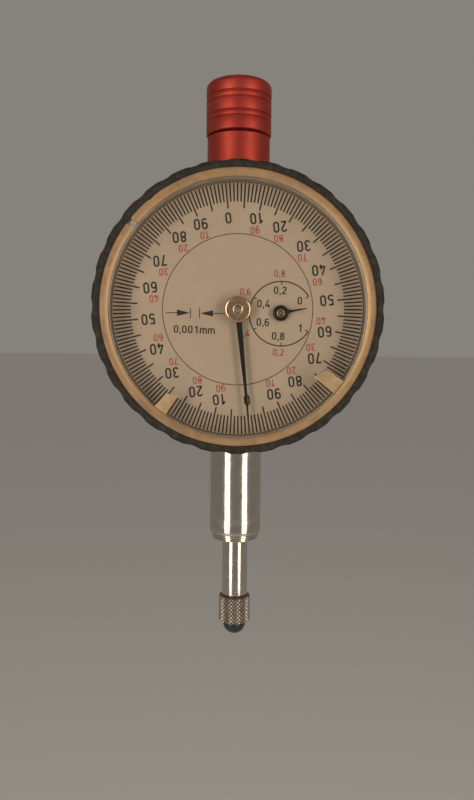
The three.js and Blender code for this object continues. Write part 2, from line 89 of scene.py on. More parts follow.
def soft_panel(name, place, target, width, height, watts, colour):
    aim = (Vector(target) - Vector(place)).to_track_quat("-Z", "Y").to_euler()
    bpy.ops.object.light_add(type="AREA", location=place, rotation=aim)
    panel = bpy.context.object
    panel.name = name
    panel.data.shape = "RECTANGLE"
    panel.data.size = width
    panel.data.size_y = height
    panel.data.energy = watts
    panel.data.color = colour


warm = (1.0, 0.87, 0.70)
soft_panel("panel_left", (-0.215, -0.288, 0.035), (0, 0, 0.02), 0.13, 0.34, 0.64, warm)
soft_panel("panel_right", (0.238, -0.270, 0.035), (0, 0, 0.02), 0.12, 0.34, 0.58, warm)

room = bpy.data.worlds.new("studio_room")
room.use_nodes = True
room.node_tree.nodes["Background"].inputs["Color"].default_value = (1.0, 0.93, 0.84, 1)
room.node_tree.nodes["Background"].inputs["Strength"].default_value = 0.24
bpy.context.scene.world = room
bpy.context.scene.view_settings.view_transform = "Standard"

# ---- Case ---------------------------------------------------------------------------------------
# The case is turned from aluminium and satin plated. A flat boss below takes the stem, and one
# above takes the guide bush; both are pressed in.
MM = 0.001
DIAL = Vector((0, 0, 0.028))
AROUND = {"Y": (0, 1, 0), "Z": (0, 0, 1)}


def to_place(profile_point, centre, axis):
    """A profile point (radius, along the axis), in mm, as a place in the frame."""
    radius, along = profile_point
    if axis == "Z":
        return Vector((centre[0] + radius * MM, centre[1], along * MM))
    return Vector((centre[0] + radius * MM, along * MM, centre[2]))


def start_from_a_point(name, place):
    """A new mesh of one vertex, open in edit mode, ready to be extruded."""
    bpy.ops.object.select_all(action="DESELECT")
    bpy.ops.mesh.primitive_plane_add(size=0.002)
    piece = bpy.context.object
    piece.name = name
    piece.data.name = name
    bpy.ops.object.mode_set(mode="EDIT")
    bpy.ops.mesh.select_all(action="SELECT")
    bpy.ops.mesh.merge(type="CENTER")
    bpy.ops.transform.translate(value=place)
    return piece


def close_and_leave_edit():
    bpy.ops.mesh.select_all(action="SELECT")
    bpy.ops.mesh.remove_doubles(threshold=1e-6)
    bpy.ops.mesh.normals_make_consistent(inside=False)
    bpy.ops.object.mode_set(mode="OBJECT")


def turned(name, profile, centre=DIAL, axis="Y", steps=144):
    """Lathe work: the profile is drawn as a wire and spun once round the axis."""
    places = [to_place(point, centre, axis) for point in profile]
    piece = start_from_a_point(name, places[0])
    for here, there in zip(places, places[1:]):
        bpy.ops.mesh.extrude_vertices_move(TRANSFORM_OT_translate={"value": there - here})
    bpy.ops.mesh.select_all(action="SELECT")
    bpy.ops.mesh.spin(steps=steps, angle=2 * pi, center=centre, axis=AROUND[axis])
    close_and_leave_edit()
    return piece


def break_edges(piece, width, sharper_than=28, segments=2):
    """The small radius that a file or tumbling leaves on every corner."""
    bpy.ops.object.select_all(action="DESELECT")
    bpy.context.view_layer.objects.active = piece
    piece.select_set(True)
    bpy.ops.object.modifier_add(type="BEVEL")
    bevel = piece.modifiers[-1]
    bevel.width = width * MM
    bevel.segments = segments
    bevel.limit_method = "ANGLE"
    bevel.angle_limit = radians(sharper_than)
    bevel.use_clamp_overlap = True
    bpy.ops.object.modifier_apply(modifier=bevel.name)
    bpy.ops.object.shade_smooth_by_angle(angle=radians(40))
    bpy.ops.object.modifier_add(type="WEIGHTED_NORMAL")
    piece.modifiers[-1].keep_sharp = True
    bpy.ops.object.modifier_apply(modifier=piece.modifiers[-1].name)


def carve(piece, cutter, operation="DIFFERENCE"):
    """Takes the cutter out of the piece, or joins it on, and throws the cutter away."""
    bpy.ops.object.select_all(action="DESELECT")
    bpy.context.view_layer.objects.active = piece
    piece.select_set(True)
    bpy.ops.object.modifier_add(type="BOOLEAN")
    boolean = piece.modifiers[-1]
    boolean.operation = operation
    boolean.object = cutter
    boolean.solver = "EXACT"
    bpy.ops.object.modifier_apply(modifier=boolean.name)
    bpy.data.objects.remove(cutter, do_unlink=True)


def join(pieces, name):
    bpy.ops.object.select_all(action="DESELECT")
    for piece in pieces:
        piece.select_set(True)
    bpy.context.view_layer.objects.active = pieces[0]
    if len(pieces) > 1:
        bpy.ops.object.join()
    whole = bpy.context.view_layer.objects.active
    whole.name = name
    whole.data.name = name
    return whole


def copy_of(piece, name):
    twin = piece.copy()
    twin.data = piece.data.copy()
    twin.name = name
    twin.data.name = name
    bpy.context.collection.objects.link(twin)
    return twin


class Finish:
    """A material under way: its shader, node tree and the object coordinates it is drawn on."""

    def __init__(self, name, colour, metallic, roughness):
        self.material = bpy.data.materials.new(name)
        self.material.use_nodes = True
        self.nodes = self.material.node_tree.nodes
        self.links = self.material.node_tree.links
        self.shader = self.nodes["Principled BSDF"]
        self.shader.inputs["Base Color"].default_value = (*colour, 1)
        self.shader.inputs["Metallic"].default_value = metallic
        self.shader.inputs["Roughness"].default_value = roughness
        self.place = self.nodes.new("ShaderNodeTexCoord").outputs["Object"]

    def placed(self, centre=(0, 0, 0), stretch=(1, 1, 1)):
        """Object coordinates counted from a centre, in mm, stretched along each axis."""
        mapping = self.nodes.new("ShaderNodeMapping")
        mapping.inputs["Scale"].default_value = [s / MM for s in stretch]
        mapping.inputs["Location"].default_value = [
            -c / MM * s for c, s in zip(centre, stretch)
        ]
        self.links.new(self.place, mapping.inputs["Vector"])
        return mapping.outputs["Vector"]

    def noise(self, vector, scale, detail=3.0, roughness=0.55):
        noise = self.nodes.new("ShaderNodeTexNoise")
        noise.inputs["Scale"].default_value = scale
        noise.inputs["Detail"].default_value = detail
        noise.inputs["Roughness"].default_value = roughness
        self.links.new(vector, noise.inputs["Vector"])
        return noise.outputs["Fac"]

    def grooves(self, vector, kind, direction, pitch, waver=0.6):
        """Tool marks, one every pitch mm, as straight bands or as rings round an axis."""
        wave = self.nodes.new("ShaderNodeTexWave")
        wave.wave_type = kind
        if kind == "RINGS":
            wave.rings_direction = direction
        else:
            wave.bands_direction = direction
        wave.inputs["Scale"].default_value = 2 * pi / (20 * pitch)
        wave.inputs["Distortion"].default_value = waver
        wave.inputs["Detail"].default_value = 2
        self.links.new(vector, wave.inputs["Vector"])
        return wave.outputs["Fac"]

    def between(self, factor, low, high, start=0.3, end=0.7):
        """Maps a factor from start..end onto low..high."""
        span = self.nodes.new("ShaderNodeMapRange")
        span.inputs["From Min"].default_value = start
        span.inputs["From Max"].default_value = end
        span.inputs["To Min"].default_value = low
        span.inputs["To Max"].default_value = high
        self.links.new(factor, span.inputs["Value"])
        return span.outputs["Result"]

    def blend(self, factor, first, second):
        """Colour or output first where the factor is 0, second where it is 1."""
        mix = self.nodes.new("ShaderNodeMix")
        mix.data_type = "RGBA"
        self.links.new(factor, mix.inputs["Factor"])
        for socket, value in ((mix.inputs["A"], first), (mix.inputs["B"], second)):
            if isinstance(value, tuple):
                socket.default_value = (*value, 1)
            else:
                self.links.new(value, socket)
        return mix.outputs["Result"]

    def sum_of(self, first, second, share):
        """first + share * second, for two heights."""
        add = self.nodes.new("ShaderNodeMath")
        add.operation = "MULTIPLY_ADD"
        add.inputs[1].default_value = share
        self.links.new(second, add.inputs[0])
        self.links.new(first, add.inputs[2])
        return add.outputs["Value"]

    def colour_from(self, output):
        self.links.new(output, self.shader.inputs["Base Color"])

    def tint(self, pattern, first, second):
        self.colour_from(self.blend(self.between(pattern, 0, 1), first, second))

    def roughness_from(self, output):
        self.links.new(output, self.shader.inputs["Roughness"])

    def relief_from(self, height, depth):
        """A bump whose full height is depth mm."""
        bump = self.nodes.new("ShaderNodeBump")
        bump.inputs["Strength"].default_value = 1.0
        bump.inputs["Distance"].default_value = depth * MM
        self.links.new(height, bump.inputs["Height"])
        self.links.new(bump.outputs["Normal"], self.shader.inputs["Normal"])

    def put_on(self, *pieces):
        for piece in pieces:
            piece.data.materials.clear()
            piece.data.materials.append(self.material)


# satin plating over bead-blasted turning: soft cloudy sheen, faint rings, a few handling marks
satin_plating = Finish("satin_plating", (0.62, 0.56, 0.48), 1.0, 0.36)
blasted = satin_plating.noise(satin_plating.placed(), 9.0, 4)
clouds = satin_plating.noise(satin_plating.placed(), 0.35, 3)
rings = satin_plating.grooves(satin_plating.placed(DIAL), "RINGS", "Y", 0.16)
satin_plating.roughness_from(satin_plating.between(clouds, 0.33, 0.42))
satin_plating.tint(clouds, (0.60, 0.55, 0.48), (0.66, 0.61, 0.54))
satin_plating.relief_from(satin_plating.sum_of(blasted, rings, 0.5), 0.004)

case = turned("case_shell", [
    (16.0, -6.2), (16.6, -6.2), (16.6, -7.1), (18.0, -7.1), (18.3, -6.8), (18.3, -5.0), (18.3, 4.2),
    (18.15, 4.3), (18.15, 4.6), (18.3, 4.7), (18.3, 5.2), (17.7, 5.8), (16.0, 5.8), (16.0, -6.2),
])
lower_boss = turned("lower_boss", [(0, 8.6), (4.5, 8.6), (4.75, 8.85), (4.75, 11.3), (0, 11.3)],
                    (0, 0, 0), "Z", 96)
carve(case, lower_boss, "UNION")
upper_boss = turned("upper_boss", [(0, 44.7), (4.75, 44.7), (4.75, 46.45), (4.5, 46.7), (0, 46.7)],
                    (0, 0, 0), "Z", 96)
carve(case, upper_boss, "UNION")
stem_bore = turned("stem_bore", [(0, 7.0), (4.02, 7.0), (4.02, 14.0), (0, 14.0)],
                   (0, 0, 0), "Z", 96)
carve(case, stem_bore)
neck_bore = turned("neck_bore", [(0, 42.0), (3.22, 42.0), (3.22, 49.0), (0, 49.0)],
                   (0, 0, 0), "Z", 96)
carve(case, neck_bore)
break_edges(case, 0.06)
satin_plating.put_on(case)
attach(case, "housing")
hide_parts("case_ring")

# ---- Stem ---------------------------------------------------------------------------------------
# The 8 mm clamping stem is hardened steel, ground and polished to its size, with a turned nose of
# fine steps at the end. It is pressed into the case, and a bronze bush guides the plunger in it.
ground_steel = Finish("ground_steel", (0.64, 0.62, 0.60), 1.0, 0.14)
hairlines = ground_steel.noise(ground_steel.placed(stretch=(0.5, 0.5, 14)), 1.2, 4, 0.7)
handling = ground_steel.noise(ground_steel.placed(), 0.8, 3)
ground_steel.roughness_from(ground_steel.between(handling, 0.10, 0.20))
ground_steel.tint(hairlines, (0.60, 0.56, 0.51), (0.70, 0.66, 0.61))
ground_steel.relief_from(hairlines, 0.0012)

STEM_LOW = -7.35
stem = turned("clamping_stem", [
    (2.4, -1.0), (3.0, -1.0), (3.0, STEM_LOW + 0.12), (3.12, STEM_LOW), (3.42, STEM_LOW),
    (3.52, STEM_LOW + 0.10), (3.52, STEM_LOW + 0.26),
    (3.36, STEM_LOW + 0.30), (3.36, STEM_LOW + 0.37),
    (3.64, STEM_LOW + 0.42), (3.64, STEM_LOW + 0.58),
    (3.48, STEM_LOW + 0.62), (3.48, STEM_LOW + 0.69),
    (3.76, STEM_LOW + 0.74), (3.76, STEM_LOW + 0.90),
    (3.62, STEM_LOW + 0.94), (3.62, STEM_LOW + 1.00),
    (3.88, STEM_LOW + 1.06), (4.0, STEM_LOW + 1.20), (4.0, -3.93),
    (3.985, -3.90), (3.985, -3.83), (4.0, -3.80), (4.0, 12.5), (2.4, 12.5), (2.4, -1.0),
], (0, 0, 0), "Z")
break_edges(stem, 0.012)
ground_steel.put_on(stem)
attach(stem, "housing")
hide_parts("stem")

# bronze and brass: milled or turned bright, then a little tarnished
bright_brass = Finish("bright_brass", (0.78, 0.58, 0.30), 1.0, 0.28)
tarnish = bright_brass.noise(bright_brass.placed(), 0.45, 4)
fine_marks = bright_brass.noise(bright_brass.placed(stretch=(8, 1, 1)), 2.5, 3)
bright_brass.roughness_from(bright_brass.between(tarnish, 0.22, 0.36))
bright_brass.tint(tarnish, (0.66, 0.46, 0.21), (0.83, 0.64, 0.36))
bright_brass.relief_from(fine_marks, 0.002)
bright_brass.put_on(nodes_of_cad["lower_bush"])
ground_steel.put_on(nodes_of_cad["upper_bush"])

# ---- Movement frame -----------------------------------------------------------------------------
# Two brass plates on four riveted pillars carry every pivot. The front plate is screwed to the
# case; the slotted block on the rear plate guides the pin that keeps the plunger from turning.
bright_brass.put_on(
    nodes_of_cad["front_plate"], nodes_of_cad["rear_plate"], nodes_of_cad["guide_block"],
    nodes_of_cad["hairspring_stud"],
    *[nodes_of_cad[f"pillar_{i}"] for i in range(1, 5)],
)

# screw steel: turned, hardened and blackened slightly by oil
screw_steel = Finish("screw_steel", (0.50, 0.49, 0.48), 1.0, 0.26)
oil = screw_steel.noise(screw_steel.placed(), 1.6, 3)
lathe_marks = screw_steel.grooves(screw_steel.placed(), "BANDS", "Y", 0.09)
screw_steel.roughness_from(screw_steel.between(oil, 0.20, 0.34))
screw_steel.tint(oil, (0.40, 0.39, 0.38), (0.56, 0.55, 0.54))
screw_steel.relief_from(lathe_marks, 0.001)
screw_steel.put_on(*[nodes_of_cad[f"plate_screw_{i}"] for i in range(1, 5)])

# ---- Plunger ------------------------------------------------------------------------------------
# A 4 mm rod of hardened steel, lapped to run in both bushes, with a collar for the return spring.
# The drive pin lifts the sector's finger; the guide pin runs in the slotted block.
rod = turned("plunger", [
    (0, -17.6), (1.2, -17.6), (1.2, -16.45), (1.85, -16.45), (2.0, -16.3), (2.0, 12.6), (3.0, 12.6),
    (3.0, 13.7), (2.0, 13.7), (2.0, 36.2), (2.9, 36.2), (2.9, 37.5), (2.0, 37.5), (2.0, 42.0),
    (1.5, 42.0), (1.5, 59.8), (0, 59.8),
], (0, 0, 0), "Z", 96)
break_edges(rod, 0.04)
ground_steel.put_on(rod, nodes_of_cad["drive_pin"], nodes_of_cad["guide_pin"])
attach(rod, "plunger")
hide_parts("plunger_rod")

# spring wire: drawn, hardened and blued
blued_wire = Finish("blued_wire", (0.20, 0.25, 0.36), 1.0, 0.24)
temper = blued_wire.noise(blued_wire.placed(), 0.9, 3)
drawn = blued_wire.noise(blued_wire.placed(stretch=(1, 6, 6)), 3.0, 3)
blued_wire.tint(temper, (0.14, 0.18, 0.30), (0.36, 0.34, 0.36))
blued_wire.roughness_from(blued_wire.between(drawn, 0.18, 0.32))
blued_wire.relief_from(drawn, 0.001)

# the return spring: one round wire coiled six times between the collar and the upper bush
SPRING_LOW, SPRING_HIGH, SPRING_TURNS = 37.85, 43.15, 6
SPRING_RADIUS, WIRE_RADIUS = 2.52, 0.22
bpy.ops.object.select_all(action="DESELECT")
bpy.ops.mesh.primitive_circle_add(
    vertices=16, radius=WIRE_RADIUS * MM, fill_type="NOTHING",
    location=(SPRING_RADIUS * MM, 0, SPRING_LOW * MM), rotation=(radians(90), 0, 0)
)
spring = bpy.context.object
spring.name = spring.data.name = "return_coil"
bpy.ops.object.transform_apply(location=True, rotation=True, scale=True)
bpy.ops.object.modifier_add(type="SCREW")
coils = spring.modifiers[-1]
coils.iterations = SPRING_TURNS
coils.screw_offset = (SPRING_HIGH - SPRING_LOW) / SPRING_TURNS * MM
coils.steps = coils.render_steps = 32
bpy.ops.object.modifier_apply(modifier=coils.name)
bpy.ops.object.mode_set(mode="EDIT")
bpy.ops.mesh.select_all(action="SELECT")
bpy.ops.mesh.fill_holes(sides=0)
close_and_leave_edit()
break_edges(spring, 0.03)
blued_wire.put_on(spring, nodes_of_cad["hairspring"])
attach(spring, "housing")
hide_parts("return_spring")
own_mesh(spring)

# ---- Contact point ------------------------------------------------------------------------------
# The contact screws on to the plunger by hand, so its body is diamond knurled. The domed tip is a
# separate, very hard insert, lapped dark.
KNURL_LOW, KNURL_HIGH = -20.55, -16.65
KNURL_COLUMNS, KNURL_ROWS = 52, 13
bpy.ops.object.select_all(action="DESELECT")
bpy.ops.mesh.primitive_circle_add(
    vertices=KNURL_COLUMNS, radius=2.5 * MM, location=(0, 0, KNURL_LOW * MM), fill_type="NOTHING"
)
contact = bpy.context.object
contact.name = contact.data.name = "knurled_contact"
bpy.ops.object.transform_apply(location=True, rotation=True, scale=True)
bpy.ops.object.mode_set(mode="EDIT")
bpy.ops.mesh.select_all(action="SELECT")
knurl_step = (KNURL_HIGH - KNURL_LOW) / KNURL_ROWS * MM
for row in range(KNURL_ROWS):
    bpy.ops.mesh.extrude_region_move(TRANSFORM_OT_translate={"value": (0, 0, knurl_step)})
bpy.ops.object.mode_set(mode="OBJECT")


def pick(piece, wanted):
    """Selects the vertices for which wanted(place) is true, and nothing else, in edit mode."""
    bpy.ops.object.mode_set(mode="EDIT")
    bpy.ops.mesh.select_mode(type="VERT")
    bpy.ops.mesh.select_all(action="DESELECT")
    bpy.ops.object.mode_set(mode="OBJECT")
    for vertex in piece.data.vertices:
        vertex.select = bool(wanted(vertex.co))
    bpy.ops.object.mode_set(mode="EDIT")


def between_the_peaks(place):
    column = round(atan2(place.y, place.x) / (2 * pi) * KNURL_COLUMNS)
    row = round((place.z - KNURL_LOW * MM) / knurl_step)
    return (column + row) % 2 == 1


pick(contact, between_the_peaks)
bpy.ops.transform.resize(value=(0.925, 0.925, 1), center_override=(0, 0, 0))
bpy.ops.mesh.select_all(action="SELECT")
bpy.ops.mesh.quads_convert_to_tris(quad_method="SHORTEST_DIAGONAL")
bpy.ops.object.mode_set(mode="OBJECT")

for level, profile in (
    (KNURL_HIGH, [(2.34, -16.61), (2.2, -16.45), (1.25, -16.45), (1.25, -17.2)]),
    (KNURL_LOW, [(2.34, -20.6), (2.2, -20.75), (2.05, -20.8), (1.0, -20.8), (1.0, -20.0)]),
):
    pick(contact, lambda place: abs(place.z - level * MM) < knurl_step / 4)
    radius, along = 2.43, level
    for next_radius, next_along in profile:
        bpy.ops.mesh.extrude_region_move(
            TRANSFORM_OT_translate={"value": (0, 0, (next_along - along) * MM)}
        )
        bpy.ops.transform.resize(
            value=(next_radius / radius, next_radius / radius, 1), center_override=(0, 0, 0)
        )
        radius, along = next_radius, next_along
    bpy.ops.mesh.edge_face_add()
    bpy.ops.object.mode_set(mode="OBJECT")
bpy.ops.object.mode_set(mode="EDIT")
close_and_leave_edit()

knurled_steel = Finish("knurled_steel", (0.50, 0.46, 0.42), 1.0, 0.30)
depth_in_knurl = knurled_steel.nodes.new("ShaderNodeVectorMath")
depth_in_knurl.operation = "LENGTH"
knurled_steel.links.new(
    knurled_steel.placed(stretch=(1, 1, 0)), depth_in_knurl.inputs[0]
)
# painted shade: the knurl's valleys, nearer the axis, are coloured dark as shade, and the peaks
# take the lighter steel with its random grime
peaks_over_painted_valley_shade = knurled_steel.between(depth_in_knurl.outputs["Value"], 0, 1, 2.33, 2.47)
grime = knurled_steel.noise(knurled_steel.placed(), 2.2, 4)
knurled_steel.colour_from(knurled_steel.blend(
    peaks_over_painted_valley_shade, (0.22, 0.185, 0.155),
    knurled_steel.blend(knurled_steel.between(grime, 0, 1), (0.44, 0.39, 0.34), (0.66, 0.61, 0.56)),
))
knurled_steel.roughness_from(knurled_steel.between(grime, 0.22, 0.42))
knurled_steel.relief_from(grime, 0.006)
knurled_steel.put_on(contact)
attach(contact, "plunger")
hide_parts("contact_point")

lapped_tip = Finish("lapped_tip", (0.13, 0.13, 0.14), 1.0, 0.22)
lapping = lapped_tip.noise(lapped_tip.placed(), 7.0, 3)
wear = lapped_tip.between(lapped_tip.noise(lapped_tip.placed(), 0.9, 2), 0, 1)
lapped_tip.colour_from(lapped_tip.blend(wear, (0.045, 0.060, 0.075), (0.10, 0.115, 0.125)))
lapped_tip.roughness_from(lapped_tip.between(lapping, 0.16, 0.30))
lapped_tip.relief_from(lapping, 0.0015)
tip = turned("contact_dome", [
    (0, -19.7), (0.95, -19.7), (0.95, -20.8), (1.8, -20.8),
    *[(1.8 * cos(radians(a)), -21.0 - 1.8 * sin(radians(a))) for a in range(0, 90, 6)],
    (0, -22.8),
], (0, 0, 0), "Z", 96)
break_edges(tip, 0.03)
lapped_tip.put_on(tip)
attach(tip, "plunger")
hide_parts("contact_tip")

# ---- Neck sleeve and lifting cap ----------------------------------------------------------------
# Both are turned from aluminium and anodised red. The sleeve hides the upper guide bush; the cap
# screws on to the plunger and lifts it, and has two pairs of fine grooves for the fingertips.
red_anodised = Finish("red_anodised", (0.56, 0.060, 0.040), 0.85, 0.44)
dye = red_anodised.noise(red_anodised.placed(), 0.30, 3)
turning = red_anodised.grooves(red_anodised.placed(), "BANDS", "Z", 0.11)
specks = red_anodised.noise(red_anodised.placed(), 5.0, 4)
red_anodised.tint(dye, (0.36, 0.042, 0.031), (0.44, 0.060, 0.043))
red_anodised.roughness_from(red_anodised.between(specks, 0.44, 0.56))
red_anodised.relief_from(red_anodised.sum_of(specks, turning, 0.7), 0.003)

sleeve = turned("neck_sleeve_turned", [
    (3.24, 46.75), (4.68, 46.75), (4.76, 46.85), (4.76, 54.20), (4.70, 54.32), (4.58, 54.43),
    (4.40, 54.5), (3.24, 54.5), (3.24, 46.75),
], (0, 0, 0), "Z", 128)
break_edges(sleeve, 0.05)
red_anodised.put_on(sleeve)
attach(sleeve, "housing")
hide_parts("neck_sleeve")

cap = turned("lifting_cap_turned", [
    (3.6, 54.6), (4.80, 54.6), (4.95, 54.76), (4.95, 56.45), (4.77, 56.52), (4.77, 56.62),
    (4.92, 56.70), (4.94, 56.99), (4.92, 57.27), (4.77, 57.35), (4.77, 57.45), (4.95, 57.52),
    (4.95, 59.20), (4.77, 59.27), (4.77, 59.37), (4.92, 59.45), (4.94, 59.77), (4.92, 60.08),
    (4.77, 60.16), (4.77, 60.26), (4.95, 60.33), (4.95, 61.60), (4.90, 61.85), (4.76, 62.10),
    (4.52, 62.32), (4.20, 62.47), (3.85, 62.56), (3.4, 62.6), (0, 62.6), (0, 60.0), (1.55, 60.0),
    (1.55, 58.2), (3.6, 58.2), (3.6, 54.6),
], (0, 0, 0), "Z", 128)
break_edges(cap, 0.05)
red_anodised.put_on(cap)
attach(cap, "plunger")
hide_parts("lifting_cap")

# ---- Train --------------------------------------------------------------------------------------
# Cut steel pinions on hardened arbors, stamped brass wheels with five holes each, and a toothed
# brass sector. The steel is finer than the screws', the brass is the plates' own.
ground_steel.put_on(
    nodes_of_cad["main_arbor"], nodes_of_cad["counter_arbor"], nodes_of_cad["transfer_arbor"],
    nodes_of_cad["sector_arbor"],
)
bright_brass.put_on(
    nodes_of_cad["counter_wheel"], nodes_of_cad["transfer_wheel"], nodes_of_cad["sector_lever"]
)

# ---- Dials --------------------------------------------------------------------------------------
# Both dials are thin brass discs with a matt silver finish. The inner one is fixed to the front
# plate; the outer one lies in the bezel and turns with it.
silvered = Finish("silvered_dial", (0.56, 0.49, 0.41), 0.0, 0.50)
powder = silvered.noise(silvered.placed(), 12.0, 3)
ageing = silvered.noise(silvered.placed(), 0.12, 3)
silvered.tint(ageing, (0.455, 0.365, 0.278), (0.50, 0.405, 0.312))
silvered.roughness_from(silvered.between(powder, 0.42, 0.58))
silvered.relief_from(powder, 0.002)
silvered.shader.inputs["Specular IOR Level"].default_value = 0.6

inner_dial = turned("inner_dial_disc", [
    (0.7, -8.4), (10.72, -8.4), (10.78, -8.34), (10.78, -8.0), (0.7, -8.0), (0.7, -8.4),
], steps=180)
counter_hole = turned("counter_hole", [(0, -9), (0.55, -9), (0.55, -7), (0, -7)],
                      (0.00615, 0, 0.02755), "Y", 32)
carve(inner_dial, counter_hole)
for number, (across, up) in enumerate(((-4.5, 6.6), (-1.5, -8.5))):
    foot = turned(f"dial_foot_{number}", [(0, -8.05), (0.6, -8.05), (0.6, -7.0), (0, -7.0)],
                  DIAL + Vector((across * MM, 0, up * MM)), "Y", 24)
    carve(inner_dial, foot, "UNION")
break_edges(inner_dial, 0.02)
silvered.put_on(inner_dial)
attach(inner_dial, "housing")
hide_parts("inner_dial")

outer_dial = turned("outer_dial_ring", [
    (10.92, -8.4), (18.0, -8.4), (18.05, -8.35), (18.05, -8.0), (10.86, -8.0), (10.86, -8.34),
    (10.92, -8.4),
], steps=180)
break_edges(outer_dial, 0.01)
silvered.put_on(outer_dial)
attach(outer_dial, "bezel")
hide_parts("outer_dial")

# ---- Printing on the outer dial -----------------------------------------------------------------
# Two hundred divisions, black numbers 0 to 90 twice round, and smaller red numbers that count
# back. It is pad printed, so it stands a hundredth of a millimetre proud. The bezel has been
# turned so that the zero lies under the hand.
OUTER_TURN, FIGURE_TURN = 186.0, 186.4
INNER_TURN = -1.5
PRINT_FACE, PRINT_BACK = -8.415, -8.399

black_ink = Finish("black_ink", (0.018, 0.012, 0.008), 0.0, 0.55)
ink_grain = black_ink.noise(black_ink.placed(), 6.0, 3)
black_ink.tint(ink_grain, (0.012, 0.008, 0.005), (0.024, 0.016, 0.010))
black_ink.roughness_from(black_ink.between(ink_grain, 0.48, 0.62))
black_ink.relief_from(ink_grain, 0.001)

red_ink = Finish("red_ink", (0.42, 0.09, 0.065), 0.0, 0.55)
red_grain = red_ink.noise(red_ink.placed(), 6.0, 3)
red_ink.tint(red_grain, (0.37, 0.075, 0.055), (0.46, 0.115, 0.085))
red_ink.roughness_from(red_ink.between(red_grain, 0.48, 0.62))
red_ink.relief_from(red_grain, 0.001)


def on_dial(radius, angle, turn=0.0, centre=(0.0, 0.0)):
    """The place, in mm from the dial centre, of a point at an angle, after the dial's own turn."""
    x, h = centre
    x += radius * cos(radians(angle))
    h += radius * sin(radians(angle))
    t = radians(turn)
    return x * cos(t) - h * sin(t), x * sin(t) + h * cos(t)


def printed_bar(name, start, end, width, base=DIAL):
    """A thin ink bar between two points, each (across, up) in mm from the base."""
    (x0, h0), (x1, h1) = start, end
    length = hypot(x1 - x0, h1 - h0)
    bpy.ops.object.select_all(action="DESELECT")
    bpy.ops.mesh.primitive_cube_add(size=1)
    bar = bpy.context.object
    bar.name = bar.data.name = name
    bar.scale = (length * MM, (PRINT_BACK - PRINT_FACE) * MM, width * MM)
    bar.rotation_euler = (0, -atan2(h1 - h0, x1 - x0), 0)
    bar.location = (
        (x0 + x1) / 2 * MM, (PRINT_FACE + PRINT_BACK) / 2 * MM, base.z + (h0 + h1) / 2 * MM
    )
    bpy.ops.object.transform_apply(location=True, rotation=True, scale=True)
    return bar


def row_of_ticks(name, count, inner, outer, width, first_angle):
    """One tick is modelled and spun round the dial as many times as there are divisions."""
    bar = printed_bar(name, on_dial(inner, first_angle), on_dial(outer, first_angle), width)
    bpy.ops.object.mode_set(mode="EDIT")
    bpy.ops.mesh.select_all(action="SELECT")
    bpy.ops.mesh.spin(
        steps=count, angle=2 * pi, dupli=True, center=DIAL, axis=(0, 1, 0)
    )
    close_and_leave_edit()
    return bar


def printed_arc(name, centre, radius, width, first, last, steps, base=DIAL):
    """An ink line along part of a circle: a bar is spun about the circle's centre."""
    thin = printed_bar(name, on_dial(radius - width / 2, first, 0, centre),
                       on_dial(radius + width / 2, first, 0, centre), 0.004, base)
    bpy.ops.object.mode_set(mode="EDIT")
    bpy.ops.mesh.select_mode(type="FACE")
    bpy.ops.mesh.select_all(action="DESELECT")
    bpy.ops.object.mode_set(mode="OBJECT")
    along = Vector((-sin(radians(first)), 0, cos(radians(first))))
    for face in thin.data.polygons:
        face.select = face.normal.dot(along) > 0.9
    bpy.ops.object.mode_set(mode="EDIT")
    bpy.ops.mesh.spin(
        steps=steps, angle=radians(last - first),
        center=base + Vector((centre[0] * MM, 0, centre[1] * MM)), axis=(0, 1, 0),
    )
    bpy.ops.mesh.select_mode(type="VERT")
    close_and_leave_edit()
    return thin


def oval(low, high, radius):
    """The strokes of an upright oval: an arc below, an arc above and two straight sides."""
    left, right = 0.265 - radius, 0.265 + radius
    return [
        ((0.265, high), radius, 0, 180), ((0.265, low), radius, 180, 360),
        ((left, low), (left, high)), ((right, low), (right, high)),
    ]


# The strokes of each figure, 1 high: a bar is two points, an arc is centre, radius and two angles.
# With each figure goes how far the next one stands from it.
STROKE = 0.155
FIGURES = {
    "0": (0.71, oval(0.265, 0.735, 0.20)),
    "1": (0.71, [((0.35, 0.0), (0.35, 1.0)), ((0.37, 0.96), (0.13, 0.73))]),
    "2": (0.71, [
        ((0.265, 0.735), 0.2, -38, 175), ((0.43, 0.63), (0.08, 0.10)),
        ((0.0, 0.067), (0.51, 0.067)),
    ]),
    "3": (0.71, [((0.265, 0.735), 0.2, -90, 160), ((0.255, 0.285), 0.22, -160, 90)]),
    "4": (0.71, [
        ((0.36, 1.0), (0.06, 0.22)), ((0.0, 0.22), (0.55, 0.22)), ((0.41, 0.0), (0.41, 0.46)),
    ]),
    "5": (0.71, [
        ((0.07, 0.933), (0.47, 0.933)), ((0.1, 0.99), (0.1, 0.44)),
        ((0.255, 0.285), 0.22, -155, 135),
    ]),
    "6": (0.71, oval(0.265, 0.375, 0.20) + [
        ((0.265, 0.735), 0.2, 30, 180), ((0.065, 0.37), (0.065, 0.74)),
    ]),
    "7": (0.71, [((0.02, 0.933), (0.51, 0.933)), ((0.47, 0.95), (0.2, 0.0))]),
    "8": (0.71, oval(0.265, 0.33, 0.20) + oval(0.705, 0.753, 0.18)),
    "9": (0.71, oval(0.625, 0.735, 0.20) + [
        ((0.265, 0.265), 0.2, 210, 360), ((0.465, 0.26), (0.465, 0.63)),
    ]),
    ",": (0.29, [((0.10, 0.13), (0.03, -0.14))]),
    "m": (0.97, [
        ((0.067, 0.0), (0.067, 0.72)), ((0.415, 0.0), (0.415, 0.53)), ((0.763, 0.0), (0.763, 0.53)),
        ((0.241, 0.53), 0.174, 0, 180), ((0.589, 0.53), 0.174, 0, 180),
    ]),
}
ORIGIN = Vector((0, 0, 0))
masters = {}
